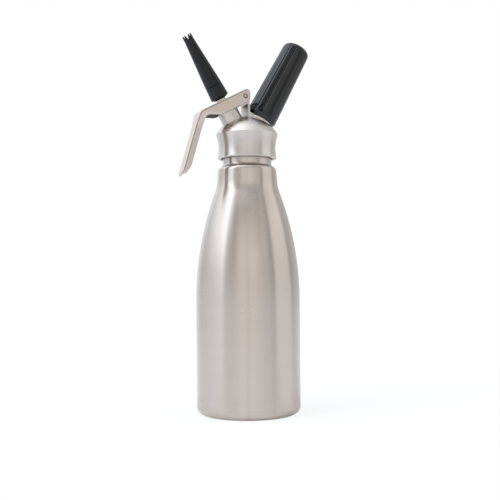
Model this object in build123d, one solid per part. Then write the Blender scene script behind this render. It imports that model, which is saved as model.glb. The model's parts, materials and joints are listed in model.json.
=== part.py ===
from build123d import *
import math
import os

# A one-litre whipped cream dispenser. Millimetres, +Z up, origin at the centre of the
# bottle's foot, +X towards the gas charger, -X towards the lever's handle.

# ---- bottle ----
bottle_radius = 44.7
bottle_wall = 0.9
bottle_corner = 6.2
foot_dish = 1.6
foot_ring_width = 3.2
dish_slope_width = 5.0
foot_bend = 1.8
body_height = 97.0
shoulder_radius = 268.0
shoulder_flat = 5.0
throat_radius = 32.0
throat_lean = 4.5
throat_flat = 9.7
neck_step = 4.2
bead_radius = 4.2
bead_lean = 60.0
neck_root = 2.5
neck_radius = 21.1
neck_length = 20.6
lip_height = 2.2
lip_width = 1.9

# ---- head ----
gasket_thickness = 2.0
seat_width = 2.6
thread_room = 1.5
collar_depth = 18.0
collar_wall = 2.1
collar_mouth_flare = 0.9
collar_rim_flare = 2.1
collar_rim_height = 3.2
collar_lip = 1.0
dome_radius = 30.5
dome_wall = 3.2
ports_height = 4.8
ports_offset = 1.0
spout_tilt = 30.0
charger_tilt = 29.0
boss_radius = 9.0
boss_height = 8.2
pad_height = 2.6
charger_boss_radius = 12.0
charger_seat_drop = 1.1
charger_seat_radius = 12.8
spigot_radius = 10.25
spigot_length = 9.4

# ---- lever and its lug ----
sheet = 1.2
lever_gap = 0.3
lug_gap = 0.7
lever_arm = 17.4
lever_lean = 2.5
pivot_rise = 4.2
roof_rise = 5.1
cheek_reach = 4.7
cheek_round = 3.2
pin_radius = 1.5
pin_rivet_radius = 1.9
pin_rivet_height = 0.3
cheek_depth = 10.7
roof_reach = 24.8
belly_drop = 17.5
roof_bend = 6.0
belly_bend = 8.0
handle_lean = 16.2
handle_length = 47.0
handle_half_width = 6.3
handle_depth = 6.0
toe_lean = 18.0
toe_length = 10.5
toe_bend = 10.0
toe_depth = 3.0
toe_flat = 1.6
taper_drop = 13.0
back_round = 0.9
lever_swing = 12.0
lug_post = 1.9
lug_post_offset = 2.1
lug_eye_radius = 3.2
web_reach = 8.5
web_bend = 0.5

# ---- valve ----
stem_radius = 4.0
stem_bore = 2.5
stem_clearance = 0.3
valve_head_radius = 6.3
valve_head_height = 1.6
valve_tail_length = 1.5
valve_gasket_height = 2.8
port_radius = 1.2
port_count = 4
ring_section = 1.0
bush_height = 2.5
counterbore_radius = 6.4
counterbore_step = 3.0
spring_wire = 1.2
spring_turns = 4.5
crown_radius = 7.5
crown_gap = 0.3
collar_height = 4.1
collar_edge = 0.6
slot_half_width = 5.5
slot_room = 0.5
clip_height = 0.7
clip_radius = 5.0
clip_groove = 0.5
clip_mouth = 60.0

# ---- nozzle ----
adapter_gap = 1.0
adapter_sag = 2.1
adapter_height = 10.9
adapter_base_radius = 8.0
adapter_top_radius = 7.5
adapter_edge = 0.4
adapter_groove = 0.35
stem_top_engagement = 11.5
nozzle_spigot_radius = 4.9
nozzle_spigot_length = 6.5
nozzle_seal_height = 1.0
nozzle_length = 48.4
nozzle_base_radius = 7.5
nozzle_tip_radius = 4.25
nozzle_crown_length = 5.2
nozzle_wall = 1.15
nozzle_step_radius = 3.7
tooth_count = 8
tooth_length = 4.2
tooth_land = 0.35

# ---- charger and holder ----
charger_length = 65.5
charger_radius = 9.0
charger_wall = 1.4
charger_neck_radius = 4.3
charger_neck_length = 7.0
charger_shoulder = 9.0
charger_bend = 4.0
charger_throat = 1.6
crimp_radius = 2.6
crimp_depth = 1.0
pierced_radius = 1.35
needle_radius = 1.0
needle_bore = 0.45
needle_reach = 2.5
needle_point = 1.4
pin_base_radius = 3.2
pin_base_height = 2.2
retainer_height = 1.2
charger_gasket_height = 1.4
neck_room = 0.65
inlet_radius = 1.6
flap_radius = 4.2
flap_height = 0.9
flap_stalk = 2.0
flap_pad_margin = 2.0
holder_radius = 13.85
holder_end_radius = 12.1
holder_seat_gap = 0.3
spigot_end_room = 1.0
holder_mouth_radius = 11.9
holder_mouth_height = 3.4
holder_end_wall = 4.7
holder_end_edge = 4.5
holder_crown_lean = 12.0
liner_radius = 11.0
liner_length = 16.0
liner_inset = 0.6
charger_room = 0.35
flute_count = 16
flute_radius = 2.2
flute_depth = 0.5
flute_band = 8.0

# ---- fits ----
pin_fit = 0.05
thread_fit = 0.1
press_fit = 0.03
gasket_room = 0.3
overcut = 1.0


def tan(degrees):
    return math.tan(math.radians(degrees))


def sin(degrees):
    return math.sin(math.radians(degrees))


def cos(degrees):
    return math.cos(math.radians(degrees))


# ---- where the bottle's outline turns ----
turn_radius = shoulder_radius + throat_radius
turn_width = (
    turn_radius
    - throat_radius * (1 - cos(throat_lean))
    + throat_flat * sin(throat_lean)
    - (bottle_radius - neck_radius - neck_step)
)
shoulder_lean = math.degrees(
    math.acos(turn_width / math.hypot(turn_radius, shoulder_flat))
    - math.atan2(shoulder_flat, turn_radius)
)
shoulder_end = (
    bottle_radius
    - shoulder_radius * (1 - cos(shoulder_lean))
    - shoulder_flat * sin(shoulder_lean),
    body_height
    + shoulder_radius * sin(shoulder_lean)
    + shoulder_flat * cos(shoulder_lean),
)
throat_end = (
    shoulder_end[0]
    - throat_radius * (cos(throat_lean) - cos(shoulder_lean))
    - throat_flat * sin(throat_lean),
    shoulder_end[1]
    + throat_radius * (sin(shoulder_lean) - sin(throat_lean))
    + throat_flat * cos(throat_lean),
)
bead_end = (
    throat_end[0] - bead_radius * (cos(throat_lean) - cos(bead_lean)),
    throat_end[1] + bead_radius * (sin(bead_lean) - sin(throat_lean)),
)
neck_root_radius = neck_radius + neck_root * (1 - cos(bead_lean))
neck_root_height = bead_end[1] + (bead_end[0] - neck_root_radius) / tan(bead_lean)
neck_base = neck_root_height + neck_root * sin(bead_lean)
neck_top = neck_base + neck_length

# ---- the head's radii and heights ----
skirt_bore = neck_radius + thread_room
cavity_radius = neck_radius - seat_width
collar_waist_radius = skirt_bore + collar_wall
collar_mouth_radius = collar_waist_radius + collar_mouth_flare
collar_rim_radius = collar_waist_radius + collar_rim_flare
seat_z = neck_top + gasket_thickness
collar_z = seat_z - collar_depth
rim_z = seat_z + collar_rim_height
dome_z = rim_z - math.sqrt(dome_radius**2 - collar_rim_radius**2)
ports_z = dome_z + ports_height


def dome_crossing(tilt, offset):
    """How far up a port's axis the dome's surface is, for an axis leaning away by a tilt."""
    across = ports_height * sin(tilt) - offset * cos(tilt)
    return math.sqrt(dome_radius**2 - across**2) - ports_height * cos(tilt) - offset * sin(tilt)


# ---- distances up the spout's axis, from where it meets the charger's ----
dome_exit = dome_crossing(spout_tilt, ports_offset)
valve_seat = dome_exit - dome_wall - pad_height
boss_top = dome_exit + boss_height
counterbore_floor = valve_seat + counterbore_step
ring_top = counterbore_floor + 2 * ring_section
bush_top = ring_top + bush_height
pivot_s = boss_top + pivot_rise
roof_top = pivot_s + roof_rise / cos(lever_lean) + lever_arm * tan(lever_lean)
roof_under = roof_top - sheet / cos(lever_lean)
slot_drop = math.sqrt(crown_radius**2 - slot_half_width**2)
crown_centre = roof_under - (crown_gap + slot_drop) / cos(lever_lean)
collar_top = roof_under + collar_edge
collar_bottom = collar_top - collar_height
clip_top = collar_top + clip_height
adapter_low = roof_top + adapter_gap
adapter_rim = adapter_low + adapter_sag
adapter_top = adapter_rim + adapter_height
stem_top = adapter_low + stem_top_engagement
spigot_top = adapter_top + nozzle_spigot_length
nozzle_seal_top = spigot_top + nozzle_seal_height
nozzle_tip = adapter_top + nozzle_length

# ---- distances up the charger's axis, from the same point ----
inlet_exit = dome_crossing(charger_tilt, -ports_offset)
inlet_seat = inlet_exit - dome_wall - pad_height
charger_boss_top = inlet_exit - charger_seat_drop
spigot_end = charger_boss_top + spigot_length
holder_rim = charger_boss_top + holder_seat_gap
needle_base = charger_boss_top + pin_base_height
retainer_bottom = needle_base + pin_base_height
retainer_top = retainer_bottom + retainer_height
charger_tip = retainer_top + charger_gasket_height
charger_end = charger_tip + charger_length
holder_end = charger_end + charger_room + holder_end_wall
well_radius = charger_neck_radius + neck_room

spout = Plane(
    origin=(-ports_offset, 0, ports_z),
    x_dir=(cos(spout_tilt), 0, sin(spout_tilt)),
    z_dir=(-sin(spout_tilt), 0, cos(spout_tilt)),
)
charger_axis = Plane(
    origin=(-ports_offset, 0, ports_z),
    x_dir=(cos(charger_tilt), 0, -sin(charger_tilt)),
    z_dir=(sin(charger_tilt), 0, cos(charger_tilt)),
)
roof_slope = spout_tilt - lever_lean
slot_swing = lever_swing - lever_lean
slot_overrun = lever_arm * (1 / cos(slot_swing) - 1) + roof_rise * tan(slot_swing) + slot_room
lever_half_width = boss_radius + lever_gap + sheet
lug_half_width = boss_radius + lever_gap - lug_gap
pin_hole_length = 2 * (lever_half_width + overcut)


def turned(profile):
    """Turn a face drawn with X as radius and Y as height about the Z axis."""
    return Rot(90, 0, 0) * revolve(profile, Axis.Y)


def joined(*lines):
    """One wire from lines, arcs and paths that meet end to end."""
    return Wire([edge for line in lines for edge in line.edges()])


def outline(*points):
    """A closed straight-sided face through the points."""
    return make_face(Polyline(*points, close=True))


def ring(inner, outer, low, high):
    """A plain ring or disc about the Z axis."""
    return turned(outline((inner, low), (outer, low), (outer, high), (inner, high)))


def on_spout(shape):
    return spout.location * shape


def on_charger(shape):
    return charger_axis.location * shape


def cap(start, rise):
    """Shallow dome from a point at some radius up to the axis, square to the axis there."""
    radius = (start[0] ** 2 + rise**2) / (2 * rise)
    return RadiusArc(start, (0, start[1] + rise), -radius)


def side_plate(face, half_width):
    """Give a face drawn in X and Z its width along Y, the same to each side."""
    return extrude(Plane.XZ.location * face, half_width, both=True)


def pin_point():
    """X and Z of the lever's pin."""
    return (
        lever_arm * cos(spout_tilt) - pivot_s * sin(spout_tilt) - ports_offset,
        lever_arm * sin(spout_tilt) + pivot_s * cos(spout_tilt) + ports_z,
    )


def lever_point(along, rise):
    """X and Z of a point at a way along the lever's roof from its pin, and a rise above it."""
    x, z = pin_point()
    return (
        x - along * cos(roof_slope) - rise * sin(roof_slope),
        z - along * sin(roof_slope) + rise * cos(roof_slope),
    )


def bottle():
    """Thin drawn shell: dished base, long round shoulder, throat, bead, neck and rolled lip."""
    ring_outer = bottle_radius - bottle_corner
    ring_inner = ring_outer - foot_ring_width
    dish_edge = ring_inner - dish_slope_width
    base = FilletPolyline(
        (0, foot_dish),
        (dish_edge, foot_dish),
        (ring_inner, 0),
        (ring_outer, 0),
        radius=foot_bend,
    )
    corner = JernArc(base @ 1, (1, 0), bottle_corner, 90)
    wall = Line(corner @ 1, (bottle_radius, body_height))
    shoulder = JernArc(wall @ 1, (0, 1), shoulder_radius, shoulder_lean)
    flank = Line(shoulder @ 1, shoulder_end)
    throat = JernArc(flank @ 1, flank % 1, throat_radius, throat_lean - shoulder_lean)
    throat_line = Line(throat @ 1, throat_end)
    bead = JernArc(throat_line @ 1, throat_line % 1, bead_radius, bead_lean - throat_lean)
    slope = Line(bead @ 1, (neck_root_radius, neck_root_height))
    root = JernArc(slope @ 1, slope % 1, neck_root, -bead_lean)
    neck = Line(root @ 1, (neck_radius, neck_top))
    outside = joined(
        base, corner, wall, shoulder, flank, throat, throat_line, bead, slope, root, neck
    )
    skin = make_face(offset(outside, bottle_wall, side=Side.LEFT))
    lip = ring(neck_radius - lip_width, neck_radius, neck_top - lip_height, neck_top)
    return turned(skin) + lip


def head_gasket():
    """Flat rubber ring that the bottle's lip presses on its seat in the head."""
    return ring(cavity_radius + gasket_room, skirt_bore - gasket_room, neck_top, seat_z)


def head_shell():
    """The dome with its flared collar, still without its cavity."""
    bottom = Line((0, collar_z), (collar_mouth_radius - collar_lip, collar_z))
    lip = JernArc(bottom @ 1, (1, 0), collar_lip, 90)
    middle = (collar_waist_radius, (collar_z + rim_z) / 2)
    flare = ThreePointArc(lip @ 1, middle, (collar_rim_radius, rim_z))
    dome = RadiusArc(flare @ 1, (0, dome_z + dome_radius), -dome_radius)
    axis = Line(dome @ 1, bottom @ 0)
    return turned(make_face(joined(bottom, lip, flare, dome, axis)))


def head_cavity():
    """Room for the neck, and above its seat the domed chamber."""
    inner_radius = dome_radius - dome_wall
    spring_z = dome_z + math.sqrt(inner_radius**2 - cavity_radius**2)
    floor = Polyline(
        (0, collar_z - overcut),
        (skirt_bore, collar_z - overcut),
        (skirt_bore, seat_z),
        (cavity_radius, seat_z),
        (cavity_radius, spring_z),
    )
    crown = RadiusArc(floor @ 1, (0, dome_z + inner_radius), -inner_radius)
    return turned(make_face(joined(floor, crown, Line(crown @ 1, floor @ 0))))


def pin_hole(radius):
    """Cutter for the lever pin's hole, through lug and cheeks."""
    x, z = pin_point()
    return Pos(x, 0, z) * Rot(90, 0, 0) * Cylinder(radius, pin_hole_length)


def lug():
    """Upright post, its web to the charger boss, and the eye that carries the lever's pin."""
    left = -lug_post_offset
    right = left + lug_post
    knee_z = lever_point(0, roof_rise - cheek_depth)[1] - sheet
    eye = Pos(*pin_point()) * Circle(lug_eye_radius)
    top_bar = Line((left, knee_z), (right, knee_z))
    arm = make_hull([*eye.edges(), top_bar])
    seat_centre = charger_axis.from_local_coords((0, 0, charger_boss_top))
    web_foot = seat_centre.Z - (right - seat_centre.X) * tan(charger_tilt)
    web_end = seat_centre.Z - (web_reach - seat_centre.X) * tan(charger_tilt)
    root_z = dome_z + dome_radius - dome_wall
    web = FilletPolyline(
        (right, knee_z),
        (right, web_foot),
        (web_reach, web_end),
        radius=web_bend,
    )
    rest = Polyline(
        (web_reach, web_end),
        (web_reach, root_z),
        (left, root_z),
        (left, knee_z),
        (right, knee_z),
    )
    solid = side_plate(arm + make_face(joined(web, rest)), lug_half_width)
    return solid - pin_hole(pin_radius + pin_fit)


def head():
    """One casting: dome and collar, spout boss, charger boss with its threaded spigot, and lug."""
    boss = on_spout(ring(0, boss_radius, 0, boss_top))
    charger_boss = on_charger(ring(0, charger_boss_radius, 0, charger_boss_top))
    spigot = on_charger(ring(0, spigot_radius, 0, spigot_end))
    seat_room = on_charger(ring(0, charger_seat_radius, charger_boss_top, spigot_end))
    body = head_shell() - seat_room + boss + charger_boss + spigot + lug()
    body -= head_cavity()
    pad_depth = pad_height + dome_wall / 2
    body += on_spout(ring(0, boss_radius, valve_seat, valve_seat + pad_depth))
    body += on_charger(ring(0, flap_radius + flap_pad_margin, inlet_seat, inlet_seat + pad_depth))
    body -= on_spout(ring(0, stem_radius + stem_clearance, 0, boss_top + overcut))
    body -= on_spout(ring(0, counterbore_radius, counterbore_floor, boss_top + overcut))
    body -= on_charger(ring(0, inlet_radius, 0, spigot_end))
    body -= on_charger(ring(0, pin_base_radius + press_fit, needle_base, spigot_end))
    body -= on_charger(ring(0, well_radius, retainer_bottom, spigot_end + overcut))
    return body


def lever_side():
    """Where the lever's back turns: over the roof's end, at the handle's kink and at its tip."""
    corner = lever_point(lever_arm + roof_reach, roof_rise)
    handle = (-sin(handle_lean), -cos(handle_lean))
    toe = (-sin(toe_lean), -cos(toe_lean))
    kink = (corner[0] + handle_length * handle[0], corner[1] + handle_length * handle[1])
    tip = (kink[0] + toe_length * toe[0], kink[1] + toe_length * toe[1])
    return corner, kink, tip


def inset_path(depth):
    """Corner, kink and tip of the lever's back, moved inwards by a depth."""
    corner, kink, tip = lever_side()
    roof_turn = (90 - roof_slope - handle_lean) / 2
    toe_turn = (toe_lean - handle_lean) / 2
    bisector = handle_lean + roof_turn
    toe_bisector = handle_lean + toe_turn
    deep_corner = (
        corner[0] + depth * cos(bisector) / cos(roof_turn),
        corner[1] - depth * sin(bisector) / cos(roof_turn),
    )
    deep_kink = (
        kink[0] + depth * cos(toe_bisector) / cos(toe_turn),
        kink[1] - depth * sin(toe_bisector) / cos(toe_turn),
    )
    deep_tip = (tip[0] + depth * cos(toe_lean), tip[1] - depth * sin(toe_lean))
    return deep_corner, deep_kink, deep_tip


def front_width(half_width, handle_half, low):
    """Front view of the lever, full width at the head and narrow down the handle."""
    taper_top = lever_side()[0][1]
    taper_foot = taper_top - taper_drop
    high = ports_z + 2 * roof_top
    face = outline(
        (-half_width, high),
        (-half_width, taper_top),
        (-handle_half, taper_foot),
        (-handle_half, low),
        (handle_half, low),
        (handle_half, taper_foot),
        (half_width, taper_top),
        (half_width, high),
    )
    bends = face.vertices().filter_by_position(Axis.Y, taper_foot - overcut, taper_top + overcut)
    return fillet(bends, toe_bend)


def back_path(along):
    """Side view of the lever's back, from its tip over the kink to a point along the roof."""
    corner, kink, tip = lever_side()
    roof_end = lever_point(along, roof_rise)
    return FilletPolyline(tip, kink, corner, roof_end, radius=(toe_bend, roof_bend))


def back_edges(bar):
    """The edges where the lever's back meets its two sides."""
    back = Plane.XZ.location * back_path(0)
    sides = [edge for edge in bar.edges() if abs((edge @ 0.5).Y) > handle_half_width / 2]
    return [
        edge
        for edge in sides
        if all(
            back.distance_to(Vertex(point.X, 0, point.Z)) < press_fit
            for point in (edge @ 0, edge @ 0.5, edge @ 1)
        )
    ]


def cheek():
    """The lever's side plate round the pin, from the roof down and out to its upright end."""
    low = roof_rise - cheek_depth
    end_x = pin_point()[0] + cheek_reach
    high_corner, low_corner = (
        (end_x, lever_point(0, height)[1] + (end_x - lever_point(0, height)[0]) * tan(roof_slope))
        for height in (roof_rise, low)
    )
    plate = outline(
        lever_point(lever_arm, roof_rise),
        high_corner,
        low_corner,
        lever_point(lever_arm, low),
    )
    return fillet(plate.vertices().group_by(Axis.X)[-1], cheek_round)


def lever_outer():
    """The lever's outside as a solid bar, with its front view's taper and round toe."""
    tip = lever_side()[-1]
    _, deep_kink, _ = inset_path(handle_depth)
    toe_end = (tip[0] + toe_depth, tip[1])
    cheek_start = lever_point(lever_arm, roof_rise - cheek_depth)
    belly_z = pin_point()[1] - belly_drop
    cheek_x = cheek_start[0] - (cheek_start[1] - belly_z) / tan(roof_slope)
    handle_x = deep_kink[0] + (belly_z - deep_kink[1]) * tan(handle_lean)
    under = FilletPolyline(
        cheek_start,
        (cheek_x, belly_z),
        (handle_x, belly_z),
        deep_kink,
        toe_end,
        radius=(belly_bend, roof_bend, toe_bend),
    )
    over = back_path(lever_arm)
    ends = [Line(under @ 1, over @ 0), Line(over @ 1, under @ 0)]
    tail = make_face(joined(under, over, *ends))
    bar = side_plate(tail + cheek(), lever_half_width)
    front = front_width(lever_half_width, handle_half_width, tip[1])
    toe_corners = front.vertices().group_by(Axis.Y)[0]
    front = fillet(toe_corners, handle_half_width - toe_flat / 2)
    bar &= extrude(Plane.YZ.location * front, 4 * roof_top, both=True)
    return fillet(back_edges(bar), back_round)


def lever_hollow():
    """What the press folds away: everything under the lever's back and between its cheeks."""
    deep_corner, deep_kink, deep_tip = inset_path(sheet)
    roof_end = lever_point(-2 * cheek_reach, roof_rise - sheet)
    beyond_x = roof_end[0] + overcut
    past_toe = (
        deep_tip[0] - toe_length * sin(toe_lean),
        deep_tip[1] - toe_length * cos(toe_lean),
    )
    back = FilletPolyline(
        roof_end,
        deep_corner,
        deep_kink,
        past_toe,
        radius=(roof_bend - sheet, toe_bend + sheet),
    )
    rest = Polyline(
        past_toe,
        (beyond_x, past_toe[1]),
        (beyond_x, roof_end[1]),
        roof_end,
    )
    hollow = side_plate(make_face(joined(back, rest)), lever_half_width - sheet)
    front = front_width(lever_half_width - sheet, handle_half_width - sheet, past_toe[1])
    return hollow & extrude(Plane.YZ.location * front, 4 * roof_top, both=True)


def lever():
    """Pressed channel with a stem slot in its roof and pin holes in both cheeks."""
    body = lever_outer() - lever_hollow()
    slot = SlotCenterToCenter(2 * slot_overrun, 2 * slot_half_width)
    x, z = lever_point(lever_arm, roof_rise)
    body -= Pos(x, 0, z) * Rot(0, -roof_slope, 0) * extrude(slot, 2 * sheet, both=True)
    return body - pin_hole(pin_radius + press_fit)


def lever_pivot_pin():
    """Plain pin through cheeks and lug, with a low rivet head outside each cheek."""
    reach = lever_half_width + press_fit
    half = Polyline((0, 0), (pin_radius, 0), (pin_radius, reach), (pin_rivet_radius, reach))
    dome = cap((pin_rivet_radius, reach), pin_rivet_height)
    side = turned(make_face(joined(half, dome, Line(dome @ 1, (0, 0)))))
    pin = side + mirror(side, Plane.XY)
    x, z = pin_point()
    return Pos(x, 0, z) * Rot(90, 0, 0) * pin


def valve_stem():
    """Hollow stem: valve head below its gasket, side ports above it, clip groove and open top."""
    head_low = valve_seat - valve_gasket_height - valve_head_height
    port_height = valve_seat + counterbore_step / 2
    profile = outline(
        (0, head_low - valve_tail_length),
        (stem_bore, head_low - valve_tail_length),
        (stem_bore, head_low),
        (valve_head_radius, head_low),
        (valve_head_radius, head_low + valve_head_height),
        (stem_radius, head_low + valve_head_height),
        (stem_radius, collar_top),
        (stem_radius - clip_groove, collar_top),
        (stem_radius - clip_groove, clip_top),
        (stem_radius, clip_top),
        (stem_radius, stem_top),
        (stem_bore, stem_top),
        (stem_bore, valve_seat),
        (0, valve_seat),
    )
    outwards = (Align.CENTER, Align.CENTER, Align.MIN)
    port = Rot(0, 90, 0) * Cylinder(port_radius, stem_radius + overcut, align=outwards)
    body = turned(profile)
    for port_index in range(port_count):
        turn = Rot(0, 0, 360 / port_count * port_index)
        body -= Pos(0, 0, port_height) * turn * port
    return on_spout(body)


def valve_gasket():
    """Thick rubber washer on the valve head, closed on the seat inside the dome."""
    return on_spout(
        ring(stem_radius + press_fit, valve_head_radius, valve_seat - valve_gasket_height, valve_seat)
    )


def stem_o_ring():
    """O-ring at the foot of the boss's counterbore, round the stem."""
    middle = stem_radius + pin_fit + ring_section
    section = Pos(middle, counterbore_floor + ring_section) * Circle(ring_section)
    return on_spout(turned(section))


def stem_guide_bush():
    """Bush pressed in over the O-ring: it guides the stem and carries the spring."""
    return on_spout(ring(stem_radius + pin_fit, counterbore_radius - press_fit, ring_top, bush_top))


def valve_spring():
    """Round-wire compression spring from the bush up to the thrust collar."""
    margin = gasket_room + spring_wire / 2
    height = collar_bottom - bush_top - 2 * margin
    middle = (stem_radius + counterbore_radius) / 2
    coil = Helix(pitch=height / spring_turns, height=height, radius=middle)
    section = Plane(origin=coil @ 0, z_dir=coil % 0) * Circle(spring_wire / 2)
    return on_spout(Pos(0, 0, bush_top + margin) * sweep(section, path=coil))


def thrust_collar():
    """Collar on the stem with a ball-shaped crown for the slot in the lever's roof."""
    top_radius = math.sqrt(crown_radius**2 - (collar_top - crown_centre) ** 2)
    low_radius = math.sqrt(crown_radius**2 - (collar_bottom + collar_edge - crown_centre) ** 2)
    bore = stem_radius + press_fit
    under = Polyline(
        (bore, collar_top),
        (bore, collar_bottom),
        (low_radius - collar_edge, collar_bottom),
        (low_radius, collar_bottom + collar_edge),
    )
    crown = RadiusArc(under @ 1, (top_radius, collar_top), -crown_radius)
    return on_spout(turned(make_face(joined(under, crown, Line(crown @ 1, under @ 0)))))


def collar_clip():
    """Open spring clip in the stem's groove, which keeps the thrust collar down."""
    inner = stem_radius - clip_groove + press_fit
    hoop = ring(inner, clip_radius, collar_top, clip_top)
    reach = 2 * clip_radius
    half_mouth = reach * tan(clip_mouth / 2)
    mouth = outline((0, 0), (reach, -half_mouth), (reach, half_mouth))
    return on_spout(hoop - Pos(0, 0, collar_top) * extrude(mouth, clip_height, both=True))


def nozzle_adapter():
    """Collar on the stem's thread, domed below, with a threaded spigot for the nozzle."""
    bore = stem_radius + press_fit
    edge_radius = adapter_base_radius - adapter_edge
    ball_radius = (edge_radius**2 + adapter_sag**2) / (2 * adapter_sag)
    bore_rise = ball_radius - math.sqrt(ball_radius**2 - bore**2)
    side = Polyline(
        (edge_radius, adapter_rim),
        (adapter_base_radius, adapter_rim + adapter_edge),
        (adapter_top_radius, adapter_top - adapter_groove),
        (adapter_top_radius - adapter_groove, adapter_top),
        (nozzle_spigot_radius, adapter_top),
        (nozzle_spigot_radius, spigot_top),
        (stem_bore, spigot_top),
        (stem_bore, stem_top),
        (bore, stem_top),
        (bore, adapter_low + bore_rise),
    )
    dome = RadiusArc(side @ 1, side @ 0, -ball_radius)
    return on_spout(turned(make_face(joined(side, dome))))


def nozzle_seal():
    """Flat ring between the adapter's spigot and the step inside the nozzle."""
    return on_spout(ring(stem_bore + gasket_room, nozzle_spigot_radius, spigot_top, nozzle_seal_top))


def decorator_nozzle():
    """Long tapered nozzle with a threaded root and a ring of pointed teeth at its mouth."""
    socket = nozzle_spigot_radius + thread_fit
    mouth = nozzle_tip_radius - nozzle_wall
    profile = outline(
        (socket, adapter_top),
        (nozzle_base_radius - adapter_groove, adapter_top),
        (nozzle_base_radius, adapter_top + adapter_groove),
        (nozzle_tip_radius, nozzle_tip - nozzle_crown_length),
        (nozzle_tip_radius, nozzle_tip),
        (mouth, nozzle_tip),
        (nozzle_step_radius, nozzle_seal_top),
        (socket, nozzle_seal_top),
    )
    body = turned(profile)
    half_notch = math.pi * nozzle_tip_radius / tooth_count - tooth_land
    notch = outline(
        (-half_notch, nozzle_tip),
        (0, nozzle_tip - tooth_length),
        (half_notch, nozzle_tip),
        (half_notch, nozzle_tip + overcut),
        (-half_notch, nozzle_tip + overcut),
    )
    cutter = extrude(Plane.YZ.location * notch, 2 * nozzle_tip_radius)
    for tooth in range(tooth_count):
        body -= Rot(0, 0, 360 / tooth_count * (tooth + 0.5)) * cutter
    return on_spout(body)


def charger_outline(radius, tip, length):
    """Half section of a gas charger: neck, round shoulder, straight body and round end."""
    neck_end = tip + charger_neck_length
    body_start = neck_end + charger_shoulder
    foot = Line((0, tip), (charger_neck_radius, tip))
    side = FilletPolyline(
        foot @ 1,
        (charger_neck_radius, neck_end),
        (radius, body_start),
        (radius, tip + length - radius),
        radius=charger_bend,
    )
    end = JernArc(side @ 1, (0, 1), radius, 90)
    return make_face(joined(foot, side, end, Line(end @ 1, foot @ 0)))


def gas_charger():
    """Thick-walled steel cartridge, neck down on its gasket."""
    inner_radius = charger_radius - charger_wall
    chamber_low = charger_tip + charger_neck_length + charger_shoulder
    chamber_high = charger_end - charger_radius
    floor = Line((0, chamber_low), (charger_throat, chamber_low))
    side = FilletPolyline(
        floor @ 1,
        (inner_radius, chamber_low + charger_shoulder - charger_wall),
        (inner_radius, chamber_high),
        radius=charger_bend,
    )
    crown = JernArc(side @ 1, (0, 1), inner_radius, 90)
    chamber = turned(make_face(joined(floor, side, crown, Line(crown @ 1, floor @ 0))))
    body = turned(charger_outline(charger_radius, charger_tip, charger_length))
    body -= chamber
    body -= ring(0, charger_throat, charger_tip - overcut, chamber_low + overcut)
    body -= ring(0, crimp_radius, charger_tip - overcut, charger_tip + crimp_depth)
    return on_charger(body)


def charger_seal():
    """Crimped closure in the charger's neck, with its pierced hole."""
    face = charger_tip + gasket_room
    closure = ring(pierced_radius, crimp_radius - press_fit, face, charger_tip + crimp_depth)
    return on_charger(closure)


def piercing_pin():
    """Hollow needle on a round base, at the bottom of the spigot's well."""
    tip = charger_tip + needle_reach
    profile = outline(
        (needle_bore, needle_base),
        (pin_base_radius, needle_base),
        (pin_base_radius, retainer_bottom),
        (needle_radius, retainer_bottom),
        (needle_radius, tip - needle_point),
        (needle_bore + press_fit, tip),
        (needle_bore, tip),
    )
    return on_charger(turned(profile))


def pin_retainer():
    """Threaded ring that holds the piercing pin's base down."""
    return on_charger(
        ring(needle_radius + press_fit, well_radius - press_fit, retainer_bottom, retainer_top)
    )


def charger_gasket():
    """Rubber ring that the charger's neck seals on."""
    return on_charger(
        ring(needle_radius + press_fit, charger_neck_radius + neck_room / 2, retainer_top, charger_tip)
    )


def inlet_valve_rubber():
    """Mushroom of rubber over the gas inlet inside the dome, which lets gas in and not back."""
    stalk = inlet_radius - press_fit
    under = Polyline(
        (0, inlet_seat + flap_stalk),
        (stalk, inlet_seat + flap_stalk),
        (stalk, inlet_seat),
        (flap_radius, inlet_seat),
    )
    dome = cap((flap_radius, inlet_seat), -flap_height)
    return on_charger(turned(make_face(joined(under, dome, Line(dome @ 1, under @ 0)))))


def charger_holder_liner():
    """Metal bush in the holder's mouth, threaded for the head's spigot."""
    low = holder_rim + liner_inset
    step = spigot_end + spigot_end_room
    profile = outline(
        (spigot_radius + thread_fit, low),
        (liner_radius, low),
        (liner_radius, low + liner_length),
        (charger_radius + charger_room, low + liner_length),
        (charger_radius + charger_room, step),
        (spigot_radius + thread_fit, step),
    )
    return on_charger(turned(profile))


def holder_taper():
    """How much the holder's radius shrinks for each millimetre of its tapered length."""
    return (holder_radius - holder_end_radius) / (holder_end - holder_rim - holder_mouth_height)


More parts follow.
